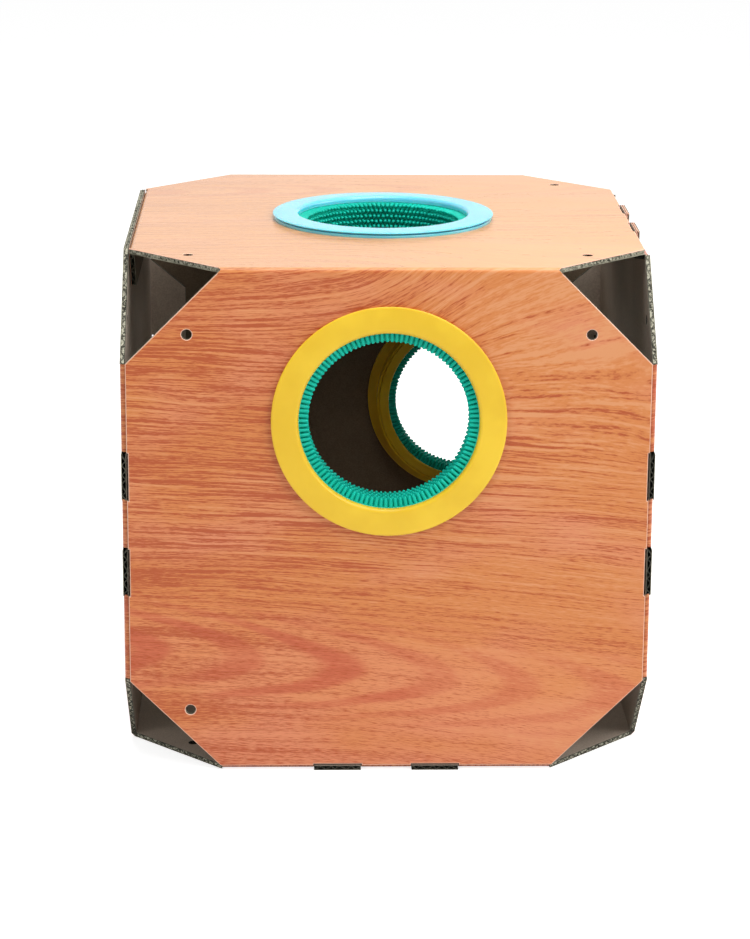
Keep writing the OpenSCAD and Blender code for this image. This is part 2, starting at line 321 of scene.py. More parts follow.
# Noise of the print: strength, scale along the grain and across it, draw, detail and roughness
WANDER = (0.014, 5.0, 14.0, 0.0, 2.0, 0.5)
SWAY = (0.06, 7.0, 9.0, 3.0, 2.0, 0.5)
PATCHES = (1.0, 9.0, 14.0, 37.0, 2.0, 0.5)
CLOUDS = (2.4, 8.0, 18.0, 5.0, 2.0, 0.5)
BANDS = (0.4, 2.5, 95.0, 7.0, 2.0, 0.6)
LINES = (1.3, 8.0, 420.0, 11.0, 2.0, 0.6)
DASHES = (1.0, 26.0, 900.0, 13.0, 2.0, 0.55)
FIBRES = (0.75, 140.0, 1500.0, 19.0, 2.0, 0.6)
CROWDING = (1.0, 7.0, 13.0, 23.0, 1.0, 0.5)

# Fades of the print: the two values between which each one turns, and what it turns from and to
FAN_OPENING = (-0.05, 0.05, 0.5, 13.0)
ARCHES_NEAR = (0.4, 1.5, 1.0, 0.0)
ARCH_PATCHES = (-0.15, 0.05, 0.5, 1.0)
ARCHES_FADING = (-0.02, 0.12, 1.0, 0.55)
ARCH_BANDS = (-0.4, 0.8, 0.0, 1.0)
CALM_BELOW = (0.08, 0.21, 0.28, 1.0)
CALM_ABOVE = (0.31, 0.39, 1.0, 0.6)
CROWDED = (-0.2, 0.1, 0.6, 1.0)
# Painted shade toward the left, and painted light toward the upper right corner
LEFT_SHADE = (-0.2, 0.15, -0.13, 0.0)
PAINTED_LIGHT_RIGHT = (-0.02, 0.13, 0.0, 1.0)
PAINTED_LIGHT_UPPER = (0.25, 0.34, 0.0, 0.12)
PINK_LOW = (0.12, 0.0, 0.4, 1.0)
PINK_SHARE = (0.2, 1.0, 0.0, 1.0)
LIGHT_SHARE = (0.0, 0.25, 0.0, 0.9)
DARK_SHARE = (0.0, -0.25, 0.0, 0.9)
# Painted sheen: the top panel's stretch of the sheet turns toward a pale wood colour
PAINTED_SHEEN_FROM = (0.391, 0.396, 0.0, 0.42)
PAINTED_SHEEN_TO = (0.789, 0.794, 1.0, 0.0)

# Colours of the print, shares of the arches' own, and how strongly its tone shows as fibres
GOLDEN_WOOD = rgb(0.64, 0.223, 0.066)
SALMON_WOOD = rgb(0.69, 0.25, 0.122)
ARCH_GROUND = rgb(0.71, 0.265, 0.10)
ARCH_GROUND_SHARE = 0.45
ARCH_RED = rgb(0.56, 0.128, 0.056)
ARCH_RED_SHARE = 0.95
LIGHT_GRAIN = rgb(0.71, 0.312, 0.138)
DARK_GRAIN = rgb(0.425, 0.076, 0.022)
# Pale wood for the painted sheen on the top panel
PAINTED_SHEEN_WOOD = rgb(0.73, 0.485, 0.22)
FIBRE_GAIN = 0.8


class WoodPrint(Nodes):
    """Nodes of the print: along and across the unfolded sheet, and height in the pattern it repeats."""

    def __init__(self, tree, sheet):
        super().__init__(tree)
        place = self.add("ShaderNodeSeparateXYZ", {"Vector": sheet}).outputs
        self.along, self.across = place["X"], place["Y"]
        self.height = self.math("PINGPONG", self.across, PRINT_REPEAT)

    def layer(self, value, strength, scale_along, scale_across, draw, detail, roughness):
        """Noise drawn out along the grain, round zero."""
        x = self.times(self.along, scale_along)
        y = self.times(value, scale_across)
        noise = self.noise(self.vector(x, y, draw), 1.0, detail, roughness)
        return self.times(self.math("SUBTRACT", noise, 0.5), strength)

    def grain(self):
        """Place across the grain lines, which tilt a little and fan out to the right."""
        centred = self.math("SUBTRACT", self.height, FAN_HEIGHT)
        rounded = self.math("SQRT", self.math("MULTIPLY_ADD", self.along, self.along, FAN_ROUND ** 2))
        rightward = self.times(self.plus(self.along, rounded), 0.5)
        opening = self.fade(centred, *FAN_OPENING)
        fan = self.math("DIVIDE", centred, self.math("MULTIPLY_ADD", rightward, opening, 1.0))
        wander = self.layer(self.across, *WANDER)
        return self.plus(fan, self.math("MULTIPLY_ADD", self.along, GRAIN_TILT, wander))

    def arches(self):
        """How near the arches are, and their broad soft bands, whose tips point along the grain."""
        middle = self.math("MULTIPLY_ADD", self.along, ARCH_SLOPE, ARCH_HEIGHT)
        off = self.math("DIVIDE", self.math("SUBTRACT", self.height, middle), ARCH_HALF)
        bow = self.times(self.times(off, off), ARCH_BOW)
        tips = self.plus(self.plus(self.along, bow), self.layer(self.across, *SWAY))
        wave = self.math("SINE", self.math("MULTIPLY_ADD", tips, 2 * math.pi / ARCH_PITCH, ARCH_PHASE))
        near = self.fade(self.math("ABSOLUTE", off), *ARCHES_NEAR)
        patches = self.fade(self.layer(self.across, *PATCHES), *ARCH_PATCHES)
        fading = self.fade(self.along, *ARCHES_FADING)
        shown = self.times(self.times(patches, near), fading)
        return near, self.times(self.fade(wave, *ARCH_BANDS), shown)

    def tone(self, grain):
        """Light and dark of the lines, calm at the arches, with painted shade on the left and painted light
        in the upper right corner.
        """
        calm = self.times(self.fade(self.height, *CALM_BELOW), self.fade(self.height, *CALM_ABOVE))
        crowd = self.times(self.fade(self.layer(self.across, *CROWDING), *CROWDED), calm)
        strokes = self.plus(self.layer(grain, *DASHES), self.layer(grain, *LINES))
        soft = self.plus(self.layer(grain, *FIBRES), self.layer(grain, *BANDS))
        tone = self.math("MULTIPLY_ADD", strokes, crowd, soft)
        # Painted shade darkens the tone on the left, and painted light lightens it toward the upper right
        shaded = self.plus(tone, self.fade(self.along, *LEFT_SHADE))
        right, upper = self.fade(self.along, *PAINTED_LIGHT_RIGHT), self.fade(self.height, *PAINTED_LIGHT_UPPER)
        return self.math("MULTIPLY_ADD", right, upper, shaded)

    def colour(self, tone):
        """Golden and salmon wood, red arches, light and dark grain, and a painted sheen that makes the top
        panel paler.
        """
        near, arches = self.arches()
        pink = self.plus(self.layer(self.across, *CLOUDS), self.fade(self.height, *PINK_LOW))
        painted_sheen = self.times(self.fade(self.across, *PAINTED_SHEEN_FROM), self.fade(self.across, *PAINTED_SHEEN_TO))
        made = self.mix(self.fade(pink, *PINK_SHARE), GOLDEN_WOOD, SALMON_WOOD)
        made = self.mix(self.times(near, ARCH_GROUND_SHARE), made, ARCH_GROUND)
        made = self.mix(self.times(arches, ARCH_RED_SHARE), made, ARCH_RED)
        made = self.mix(self.fade(tone, *LIGHT_SHARE), made, LIGHT_GRAIN)
        made = self.mix(self.fade(tone, *DARK_SHARE), made, DARK_GRAIN)
        return self.mix(painted_sheen, made, PAINTED_SHEEN_WOOD)


def make_wood_print():
    nodes, given = new_group("wood_print", {"Sheet": VECTOR}, {"Color": COLOUR, "Fibre": VALUE})
    wood = WoodPrint(nodes.tree, given["Sheet"])
    tone = wood.tone(wood.grain())
    fibre = wood.math("MULTIPLY_ADD", tone, FIBRE_GAIN, 0.5)
    wood.add("NodeGroupOutput", {"Color": wood.colour(tone), "Fibre": fibre})


# Finishes: the span that most of a noise lies in, the print's own values, and how deep bumps go
NOISE_SPAN = (0.3, 0.7)
PRINT_BUMP = 0.12
PRINT_ROUGH = (0.27, 0.37)
PRINT_RELIEF = 0.15 * MM
PAPER_RELIEF = 0.2 * MM
MOULD_RELIEF = 0.1 * MM


def printed_board():
    """Wood print under a satin varnish."""
    nodes = new_material("varnished_print")
    sheet = nodes.add("ShaderNodeUVMap", uv_map="sheet").outputs["UV"]
    wood = nodes.group("wood_print", {"Sheet": sheet})
    add_surface(nodes, wood["Fibre"], PRINT_BUMP, PRINT_RELIEF, {
        "Base Color": wood["Color"],
        "Roughness": nodes.fade(wood["Fibre"], *NOISE_SPAN, *PRINT_ROUGH),
        "Specular IOR Level": 0.2,
        "Coat Weight": 0.35,
        "Coat IOR": 1.3,
        "Coat Roughness": 0.22,
    })


def bare_paper(name, dark, light, roughness, fleck_scale, bump, fleck_share=0.45, softness=0.15):
    """Uncoated paper in two tones."""
    nodes = new_material(name)
    coords = nodes.add("ShaderNodeTexCoord").outputs["Object"]
    given = {"Coords": coords, "Fleck Scale": fleck_scale, "Fleck Share": fleck_share}
    fibre = nodes.group("paper_fibre", given)
    add_surface(nodes, fibre["Height"], bump, PAPER_RELIEF, {
        "Base Color": nodes.mix(nodes.fade(fibre["Shade"], 0.5 - softness, 0.5 + softness), dark, light),
        "Roughness": roughness,
        "Specular IOR Level": 0.25,
    })


def moulded(name, dark, light, rough, texture_scale, bump, scatter, depth, spread, gloss, coat):
    """Coloured plastic or rubber as it comes from the mould."""
    nodes = new_material(name)
    coords = nodes.add("ShaderNodeTexCoord").outputs["Object"]
    skin = nodes.group("moulded_skin", {"Coords": coords, "Texture Scale": texture_scale})
    add_surface(nodes, skin["Height"], bump, MOULD_RELIEF, {
        "Base Color": nodes.mix(nodes.fade(skin["Clouding"], *NOISE_SPAN), dark, light),
        "Roughness": nodes.fade(skin["Height"], *NOISE_SPAN, *rough),
        "Specular IOR Level": gloss,
        "Coat Weight": coat,
        "Coat Roughness": 0.2,
        "Subsurface Weight": scatter,
        "Subsurface Radius": spread,
        "Subsurface Scale": depth,
    })


def make_papers():
    bare_paper("cut_paper", rgb(0.78, 0.43, 0.30), rgb(0.88, 0.57, 0.43),
               roughness=0.7, fleck_scale=1500.0, bump=0.2)
    bare_paper("fluting_paper", rgb(0.10, 0.095, 0.065), rgb(0.42, 0.40, 0.30),
               roughness=0.85, fleck_scale=800.0, bump=0.35)
    # Near-black fluting: painted shade in the cradle's open flute ends
    bare_paper("dark_fluting", rgb(0.025, 0.024, 0.018), rgb(0.11, 0.105, 0.08),
               roughness=0.85, fleck_scale=900.0, bump=0.35, fleck_share=0.7, softness=0.1)
    # Crushed edge paper: light flecks of paper, near-black flecks as painted shade in the crushed flute
    # openings
    bare_paper("crushed_paper", rgb(0.03, 0.028, 0.02), rgb(0.52, 0.50, 0.385),
               roughness=0.85, fleck_scale=520.0, bump=0.5, fleck_share=0.9, softness=0.1)
    # One liner paper coloured apart: painted shade inside the cover, painted light inside the cradle
    bare_paper("cover_lining", rgb(0.15, 0.105, 0.065), rgb(0.22, 0.16, 0.105),
               roughness=0.8, fleck_scale=800.0, bump=0.25, fleck_share=0.7)
    bare_paper("cradle_lining", rgb(0.42, 0.335, 0.265), rgb(0.55, 0.45, 0.365),
               roughness=0.8, fleck_scale=800.0, bump=0.25, fleck_share=0.7)


def make_mouldings():
    moulded("yellow_moulding", rgb(0.77, 0.49, 0.012), rgb(0.86, 0.58, 0.023), rough=(0.34, 0.46),
            texture_scale=1400.0, bump=0.2, scatter=0.2, depth=1.5 * MM, spread=(1.0, 0.7, 0.05),
            gloss=0.4, coat=0.15)
    moulded("blue_moulding", rgb(0.105, 0.57, 0.74), rgb(0.145, 0.63, 0.79), rough=(0.34, 0.46),
            texture_scale=1400.0, bump=0.2, scatter=0.7, depth=3 * MM, spread=(0.1, 0.7, 1.0),
            gloss=0.5, coat=0.9)
    moulded("green_moulding", rgb(0.002, 0.46, 0.34), rgb(0.005, 0.56, 0.43), rough=(0.40, 0.55),
            texture_scale=1800.0, bump=0.1, scatter=0.1, depth=1.5 * MM, spread=(0.05, 1.0, 0.7),
            gloss=0.2, coat=0.0)


def make_materials():
    make_paper_fibre()
    make_moulded_skin()
    make_wood_print()
    printed_board()
    make_papers()
    make_mouldings()


# Gathering of meshes
def new_object(name, data):
    made = bpy.data.objects.new(name, data)
    bpy.context.scene.collection.objects.link(made)
    return made


class PieceMesh:
    """Points, faces, finishes and sheet coordinates of one piece, gathered before it becomes an object."""

    def __init__(self):
        self.points = []
        self.coords = []
        self.faces = []
        self.finishes = []
        self.count = 0

    def add(self, plane, local, faces, finish, unrolled=None):
        """Faces over points of a plane; unrolled tells where points off it lie up the sheet."""
        self.points.append(plane.points(local))
        self.coords.append(plane.coords(local[:, 0], local[:, 1] if unrolled is None else unrolled))
        self.faces += [[self.count + i for i in face] for face in faces]
        self.finishes += [finish] * len(faces) if isinstance(finish, str) else finish
        self.count += len(local)

    def merged(self):
        """Joins points that lie together, so that neighbouring strips shade as one surface."""
        points = np.concatenate(self.points)
        rounded = np.round(points / WELD).astype(np.int64)
        _, kept, place = np.unique(rounded, axis=0, return_index=True, return_inverse=True)
        place = place.ravel()
        self.points = [points[kept]]
        self.coords = [np.concatenate(self.coords)[kept]]
        self.faces = [[int(place[i]) for i in face] for face in self.faces]
        return self

    def build(self, name, sharp_degrees):
        mesh = bpy.data.meshes.new(name)
        mesh.from_pydata(np.concatenate(self.points).tolist(), [], self.faces)
        order = sorted(set(self.finishes))
        for finish in order:
            mesh.materials.append(bpy.data.materials[finish])
        mesh.polygons.foreach_set("material_index", [order.index(finish) for finish in self.finishes])
        corners = np.empty(len(mesh.loops), np.int32)
        mesh.loops.foreach_get("vertex_index", corners)
        layer = mesh.uv_layers.new(name="sheet")
        layer.data.foreach_set("uv", np.concatenate(self.coords)[corners].astype(np.float32).ravel())
        mesh.shade_smooth()
        mesh.set_sharp_from_angle(angle=math.radians(sharp_degrees))
        mesh.update()
        return new_object(name, mesh)


BODY_OF = {node: body for body, nodes in frame["record"]["behaviour"]["bodies"].items() for node in nodes}


def settle(piece, node):
    """The piece stands for a node of the frame and moves with its body."""
    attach(piece, BODY_OF[node])
    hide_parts(node)


# Planes of the sheets: a place in the box and a place on the unfolded, printed sheet
def quarter_turn(degrees):
    """Whole cosine and sine of a turn by quarters."""
    angle = math.radians(degrees)
    return round(math.cos(angle)), round(math.sin(angle))


class SheetPlane:
    """Local X to the right and Y up as seen from outside, Z outwards from the outer face."""

    def __init__(self, matrix, start, along, up):
        self.matrix = matrix
        self.start = np.array(start, float)
        self.along = np.array(along, float)
        self.up = np.array(up, float)

    def points(self, local):
        local = np.asarray(local, float).reshape(-1, 3)
        turn = np.array(self.matrix.to_3x3())
        return local @ turn.T + np.array(self.matrix.translation)

    def coords(self, x, y):
        return self.start + np.outer(x, self.along) + np.outer(y, self.up)

    def turned(self, degrees):
        """The same plane, turned so that another edge is the upper one."""
        cos, sin = quarter_turn(degrees)
        matrix = self.matrix @ Matrix.Rotation(math.radians(degrees), 4, "Z")
        along, up = self.along * cos + self.up * sin, self.up * cos - self.along * sin
        return SheetPlane(matrix, self.start, along, up)

    def flap(self, edge):
        """The plane of a flap that is turned in along the upper edge."""
        turn = Matrix(((-1, 0, 0, 0), (0, 0, 1, edge), (0, 1, 0, -BOARD_T), (0, 0, 0, 1)))
        start = self.start + self.up * (edge - BOARD_T + BEND_ARC)
        return SheetPlane(self.matrix @ turn, start, -self.along, -self.up)


def placed(origin, right, up):
    right, up = Vector(right), Vector(up)
    matrix = Matrix((right, up, right.cross(up))).transposed().to_4x4()
    matrix.translation = origin
    return matrix


# Middles of the panels up the unfolded sheets
COVER_TOP = HALF_H + IN_Z + BEND_ARC + IN_Y
COVER_BACK = COVER_TOP + IN_Y + BEND_ARC + IN_Z
CRADLE_X, CRADLE_Y = -0.15, 2.6
CRADLE_STEP = IN_Z + BEND_ARC + IN_X
CRADLE_LEFT, CRADLE_RIGHT = CRADLE_Y - CRADLE_STEP, CRADLE_Y + CRADLE_STEP

# Each panel's middle, right and up in the box, then on the unfolded sheet
PANELS = {
    "front": ((0, -HALF_D, HALF_H), (1, 0, 0), (0, 0, 1), (0, HALF_H), (1, 0), (0, 1)),
    "top": ((0, 0, BOX_H), (1, 0, 0), (0, 1, 0), (0, COVER_TOP), (1, 0), (0, 1)),
    "back": ((0, HALF_D, HALF_H), (-1, 0, 0), (0, 0, 1), (0, COVER_BACK), (-1, 0), (0, -1)),
    "left": ((-HALF_W, 0, HALF_H), (0, -1, 0), (0, 0, 1), (CRADLE_X, CRADLE_LEFT), (-1, 0), (0, -1)),
    "bottom": ((0, 0, 0), (1, 0, 0), (0, -1, 0), (CRADLE_X, CRADLE_Y), (0, 1), (-1, 0)),
    "right": ((HALF_W, 0, HALF_H), (0, 1, 0), (0, 0, 1), (CRADLE_X, CRADLE_RIGHT), (1, 0), (0, 1)),
}
PLANES = {side: SheetPlane(placed(*row[:3]), *row[3:]) for side, row in PANELS.items()}


# Outlines: each point carries its place and whether the line that starts there is cut, folded, or a cut end
# with painted light
def plain_edge(edge, reach, kind="cut"):
    return [(reach - edge, edge, kind), (edge - reach, edge, "cut")]


def tab_sides(width, wanted=True):
    """Right and left sides of the tabs, or of the notches and slots for them, where wanted."""
    return [(middle + width / 2, middle - width / 2) for middle in TAB_PLACES if wanted]


def notched_edge(edge, reach):
    points = [(reach - edge, edge, "cut")]
    for right, left in tab_sides(SLOT_W):
        points += [(right, edge, "cut"), (right, edge - NOTCH_DEPTH, "cut")]
        points += [(left, edge - NOTCH_DEPTH, "cut"), (left, edge, "cut")]
    return points + [(edge - reach, edge, "cut")]


def flap_edge(edge, reach, span, tab_end=None, tab_kind="cut"):
    fold = edge - BOARD_T
    points = [(reach - edge, edge, "cut"), (span / 2, edge, "cut"), (span / 2, fold, "fold")]
    for right, left in tab_sides(TAB_W, tab_end):
        points += [(right, fold, tab_kind), (right, tab_end, tab_kind)]
        points += [(left, tab_end, tab_kind), (left, fold, "fold")]
    return points + [(-span / 2, fold, "cut"), (-span / 2, edge, "cut"), (edge - reach, edge, "cut")]


def panel_outline(right, upper, left, lower):
    """Joins four edges, each drawn as an upper edge from right to left, into one outline."""
    outline = []
    for degrees, edge in ((-90, right), (0, upper), (90, left), (180, lower)):
        cos, sin = quarter_turn(degrees)
        outline += [(x * cos - y * sin, x * sin + y * cos, kind) for x, y, kind in edge]
    return outline


def flap_outline(span, slot_depth):
    slant = FLAP_DEPTH * math.tan(FLAP_END_ANGLE)
    points = [(span / 2 - slant, -FLAP_DEPTH, "cut"), (span / 2, 0, "fold")]
    for right, left in tab_sides(SLOT_W, slot_depth):
        points += [(right, 0, "cut"), (right, -slot_depth, "cut")]
        points += [(left, -slot_depth, "cut"), (left, 0, "fold")]
    return points + [(-span / 2, 0, "cut"), (slant - span / 2, -FLAP_DEPTH, "cut")]


def inset(outline, width):
    """The outline moved in by width along its cut edges, those with painted light included, and not along
    its folds.
    """
    points = np.array([(x, y) for x, y, _ in outline])
    widths = [0.0 if kind == "fold" else width for _, _, kind in outline]
    moved = []
    for i, point in enumerate(points):
        into = point - points[i - 1]
        out = points[(i + 1) % len(points)] - point
        into, out = into / np.hypot(*into), out / np.hypot(*out)
        normals = np.array([(-into[1], into[0]), (-out[1], out[0])])
        shifts = np.array([widths[i - 1], widths[i]])
        if abs(np.linalg.det(normals)) < PARALLEL:
            moved.append(point + normals[1] * shifts[1])
        else:
            moved.append(point + np.linalg.solve(normals, shifts))
    return np.array(moved)


def hole_loop(hole, widen):
    x, y, radius, steps = hole
    angles = -np.linspace(0, 2 * math.pi, steps, endpoint=False)
    return np.column_stack((x + (radius + widen) * np.cos(angles), y + (radius + widen) * np.sin(angles)))


def board_loops(outline, holes, width):
    """The outline and the holes of a board, with its edges taken back by a width."""
    return [inset(outline, width)] + [hole_loop(hole, width) for hole in holes]


def filled(loops):
    """Triangles over an outline with holes, counter-clockwise."""
    flat = np.concatenate(loops)
    turned = []
    for a, b, c in tessellate_polygon([[Vector((x, y, 0)) for x, y in loop] for loop in loops]):
        area = np.cross(flat[b] - flat[a], flat[c] - flat[a])
        if abs(area) > LEAST_AREA:
            turned.append((a, b, c) if area > 0 else (a, c, b))
    return turned


# Layers of the board
def add_liner(mesh, plane, outline, holes, levels, finishes):
    """One closed liner: levels are (height, inset), and finishes those of its top, walls and underside."""
    rings = [board_loops(outline, holes, width) for _, width in levels]
    size = sum(len(loop) for loop in rings[0])
    flat = [np.concatenate(loops) for loops in rings]
    local = np.concatenate([np.column_stack((xy, np.full(size, z))) for xy, (z, _) in zip(flat, levels)])
    faces = filled(rings[0])
    kinds = [finishes[0]] * len(faces)
    start = 0
    for loop in rings[0]:
        count = len(loop)
        for level in range(len(levels) - 1):
            upper = level * size + start
            lower = upper + size
            for i in range(count):
                j = (i + 1) % count
                faces.append((lower + i, lower + j, upper + j, upper + i))
                kinds.append(finishes[1])
        start += count
    under = [tuple((len(levels) - 1) * size + i for i in reversed(face)) for face in filled(rings[-1])]
    faces += under
    kinds += [finishes[2]] * len(under)
    mesh.add(plane, local, faces, kinds)


def flute_point(across, along, side, flutes_up):
    """A point on one side of the medium, whose flutes are a little uneven."""
    amplitude = (BOARD_T - 2 * LINER_T - MEDIUM_T) / 2
    turn = 2 * math.pi / FLUTE_PITCH
    sway = sum(math.sin(rate * turn * across + shift) for rate, shift in FLUTE_SWAYS)
    phase = turn * across + FLUTE_UNEVEN * sway
    slope = -amplitude * turn * math.sin(phase)
    length = math.hypot(1, slope)
    moved = across - side * slope / length * MEDIUM_T / 2
    height = -BOARD_T / 2 + amplitude * math.cos(phase) + side / length * MEDIUM_T / 2
    return (moved, along, height) if flutes_up else (along, moved, height)


def add_fluting(mesh, plane, outline, holes, flutes_up, finish):
    """The waved medium between the liners, in strips that end at the outline and the holes."""
    loops = board_loops(outline, holes, 0.0)
    quads = [(0, 1, 2, 3), (7, 6, 5, 4), (4, 5, 1, 0), (3, 2, 6, 7)]
    if not flutes_up:
        loops = [loop[:, ::-1] for loop in loops]
        quads = [quad[::-1] for quad in quads]
    starts = np.concatenate(loops)
    ends = np.concatenate([np.roll(loop, -1, axis=0) for loop in loops])
    low, high = starts[:, 0].min(), starts[:, 0].max()
    step = FLUTE_PITCH / FLUTE_STEPS
    regular = np.arange(math.ceil(low / step), math.floor(high / step) + 1) * step
    cuts = np.unique(np.round(np.concatenate((starts[:, 0], regular)), CUT_DIGITS))
    points, faces = [], []
    for near, far in zip(cuts[:-1], cuts[1:]):
        middle = (near + far) / 2
        crossing = (starts[:, 0] - middle) * (ends[:, 0] - middle) < 0
        first, last = starts[crossing], ends[crossing]
        slopes = (last[:, 1] - first[:, 1]) / (last[:, 0] - first[:, 0])
        order = np.argsort(first[:, 1] + slopes * (middle - first[:, 0]))
        at_near = (first[:, 1] + slopes * (near - first[:, 0]))[order]
        at_far = (first[:, 1] + slopes * (far - first[:, 0]))[order]
        for i in range(0, len(order) - 1, 2):
            base = len(points)
            corners = [(near, at_near[i]), (far, at_far[i]), (far, at_far[i + 1]), (near, at_near[i + 1])]
            points += [flute_point(*corner, side, flutes_up) for side in (1, -1) for corner in corners]
            faces += [tuple(base + k for k in quad) for quad in quads]
    mesh.add(plane, np.array(points), faces, finish)


def add_crushed_edges(mesh, plane, outline):
    """A wall just inside each long cut and each cut end with painted light, where the flutes are crushed
    together.
    """
    levels = (-LINER_T, LINER_T - BOARD_T)
    faces = [(4, 5, 1, 0), (6, 2, 3, 7), (0, 1, 3, 2), (4, 6, 7, 5), (4, 0, 2, 6), (5, 7, 3, 1)]
    for (x0, y0, kind), (x1, y1, _) in zip(outline, outline[1:] + outline[:1]):
        run = np.array((x1 - x0, y1 - y0))
        if kind == "fold" or kind == "cut" and np.hypot(*run) < CRUSH_LEAST:
            continue
        inward = np.array((-run[1], run[0])) / np.hypot(*run)
        ends = [np.array(end) + inward * depth for depth in (CRUSH_IN, CRUSH_IN + CRUSH_T)
                for end in ((x0, y0), (x1, y1))]
        local = np.array([(*end, z) for z in levels for end in ends])
        # Cut ends marked for painted light get the pale cut paper as painted light
        mesh.add(plane, local, faces, "cut_paper" if kind == "painted_light_cut" else "crushed_paper")


def add_sector(mesh, plane, axis, span, radii, angles, finishes, taper=False):
    """A closed ring sector along the upper edge: finishes are those of its outside, inside and ends."""
    turns = np.linspace(*angles, BEND_STEPS + 1)
    sections = []
    for radius in radii:
        y, z = axis + radius * np.sin(turns), -BOARD_T + radius * np.cos(turns)
        short = radius * np.minimum(np.sin(turns), np.cos(turns)) if taper else 0.0 * turns
        for x in (span[0] + short, span[1] - short):
            sections.append(np.column_stack((x, y, z)))
    outer_left, outer_right, inner_left, inner_right = (k * (BEND_STEPS + 1) for k in range(4))
    faces, kinds = [], []
    for i in range(BEND_STEPS):
        j = i + 1
        faces.append((outer_left + i, outer_right + i, outer_right + j, outer_left + j))
        faces.append((inner_left + j, inner_right + j, inner_right + i, inner_left + i))
        faces.append((outer_left + j, inner_left + j, inner_left + i, outer_left + i))
        faces.append((outer_right + i, inner_right + i, inner_right + j, outer_right + j))
        kinds += [finishes[0], finishes[1], finishes[2], finishes[2]]
    last = BEND_STEPS
    faces.append((outer_right, outer_left, inner_left, inner_right))
    faces.append((outer_left + last, outer_right + last, inner_right + last, inner_left + last))
    kinds += [finishes[2]] * 2
    mesh.add(plane, np.concatenate(sections), faces, kinds, np.tile(axis + BOARD_T * turns, 4))


class Board:
    """A panel's printed liner, fluted medium and inner liner, with its bends and flaps."""

    def __init__(self, rim, medium, inside):
        self.rim = rim
        self.medium = medium
        self.inside = inside
        self.face = PieceMesh()
        self.core = PieceMesh()
        self.lining = PieceMesh()

    def plate(self, plane, outline, holes, flutes_up):
        outer = [(0.0, RIM_W), (-RIM_DROP, 0.0), (-LINER_T, 0.0)]
        inner = [(LINER_T - BOARD_T, 0.0), (-BOARD_T, 0.0)]
        add_liner(self.face, plane, outline, holes, outer, ("varnished_print", self.rim, self.medium))
        add_liner(self.lining, plane, outline, holes, inner, (self.medium, self.medium, self.inside))
        add_fluting(self.core, plane, outline, holes, flutes_up, self.medium)
        add_crushed_edges(self.core, plane, outline)

    def bend(self, plane, axis, span, taper=False):
        """A quarter bend over the upper edge, round an axis on the panel's inside."""
        layers = (
            (self.face, (BOARD_T, BOARD_T - LINER_T), ("varnished_print", self.medium, self.rim)),
            (self.core, (BOARD_T - LINER_T, LINER_T), (self.medium,) * 3),
            (self.lining, (LINER_T, BEND_INNER_R), (self.medium, self.inside, self.medium)),
        )
        for mesh, radii, finishes in layers:
            add_sector(mesh, plane, axis, span, radii, QUARTER_BEND, finishes, taper)

    def half_crease(self, plane, axis, span):
        """The crushed core beside a swinging crease, mitred and lying clear of the bending skin."""
        radii = (BOARD_T - LINER_T - BEND_SLACK, BEND_INNER_R)
        add_sector(self.core, plane, axis, span, radii, HALF_BEND, (self.medium,) * 3, True)

    def flap(self, plane, edge, span, flutes_up, tab_end=None):
        """A flap turned in along the upper edge, with slots that its tabs were cut from."""
        slot_depth = tab_end - edge if tab_end else 0.0
        ends = [span / 2]
        for right, left in tab_sides(SLOT_W, tab_end):
            ends += [right, left]
        ends.append(-span / 2)
        for right, left in zip(ends[::2], ends[1::2]):
            self.bend(plane, edge - BOARD_T, (left, right))
        self.plate(plane.flap(edge), flap_outline(span, slot_depth), [], flutes_up)

    def finish(self, side):
        pieces = [
            self.face.build(f"{side}_print", BOARD_SHARP),
            self.core.merged().build(f"{side}_fluting", FLUTING_SHARP),
            self.lining.build(f"{side}_lining", BOARD_SHARP),
        ]
        for piece in pieces:
            settle(piece, f"{side}_panel")


# Boards of the two folded sheets
def tie_holes(half_x, half_y, skipped):
    """A tie hole in each corner of a panel but the skipped one."""
    return [
        (x * (half_x - TIE_HOLE_IN), y * (half_y - TIE_HOLE_IN), TIE_HOLE_R, HOLE_STEPS)
        for x in (-1, 1) for y in (-1, 1) if (x, y) != skipped
    ]


def ring_centre(side):
    """The middle of a ring set, in its panel's own plane."""
    low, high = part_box(f"{side}_ring_cap")
    middle = PLANES[side].matrix.inverted() @ ((low + high) / 2)
    return middle.x, middle.y


def ring_hole(side):
    return (*ring_centre(side), RING_HOLE_R, RING_HOLE_STEPS)


def flap_span(half_length):
    return 2 * (half_length - CORNER_CUT + BOARD_T + EDGE_FIT - FLAP_END_IN)


def make_cover():
    wide_reach = HALF_W + HALF_H - CORNER_CUT
    flat_reach = HALF_W + HALF_D - CORNER_CUT
    crease_span = (IN_Z - wide_reach, wide_reach - IN_Z)
    sides = notched_edge(FIT_X, wide_reach)
    fold = plain_edge(IN_Z, wide_reach, "fold")
    outline = panel_outline(sides, fold, sides, notched_edge(FIT_Z, wide_reach))
    for side, skipped in (("front", (1, -1)), ("back", (1, 1))):
        board = Board(*COVER_PAPERS)
        holes = [ring_hole(side)] + tie_holes(HALF_W, HALF_H, skipped)
        board.plate(PLANES[side], outline, holes, True)
        board.half_crease(PLANES[side], IN_Z, crease_span)
        board.finish(side)

    fold = plain_edge(IN_Y, flat_reach, "fold")
    span = flap_span(HALF_D)
    board = Board(*COVER_PAPERS)
    outline = panel_outline(notched_edge(FIT_X, flat_reach), fold, flap_edge(FIT_X, flat_reach, span), fold)
    board.plate(PLANES["top"], outline, [ring_hole("top")] + tie_holes(HALF_W, HALF_D, (-1, 1)), True)
    board.flap(PLANES["top"].turned(90), FIT_X, span, False)
    for degrees in (0, 180):
        board.half_crease(PLANES["top"].turned(degrees), IN_Y, crease_span)
    board.finish("top")
    make_crease("front", 180, crease_span)
    make_crease("back", 0, crease_span)


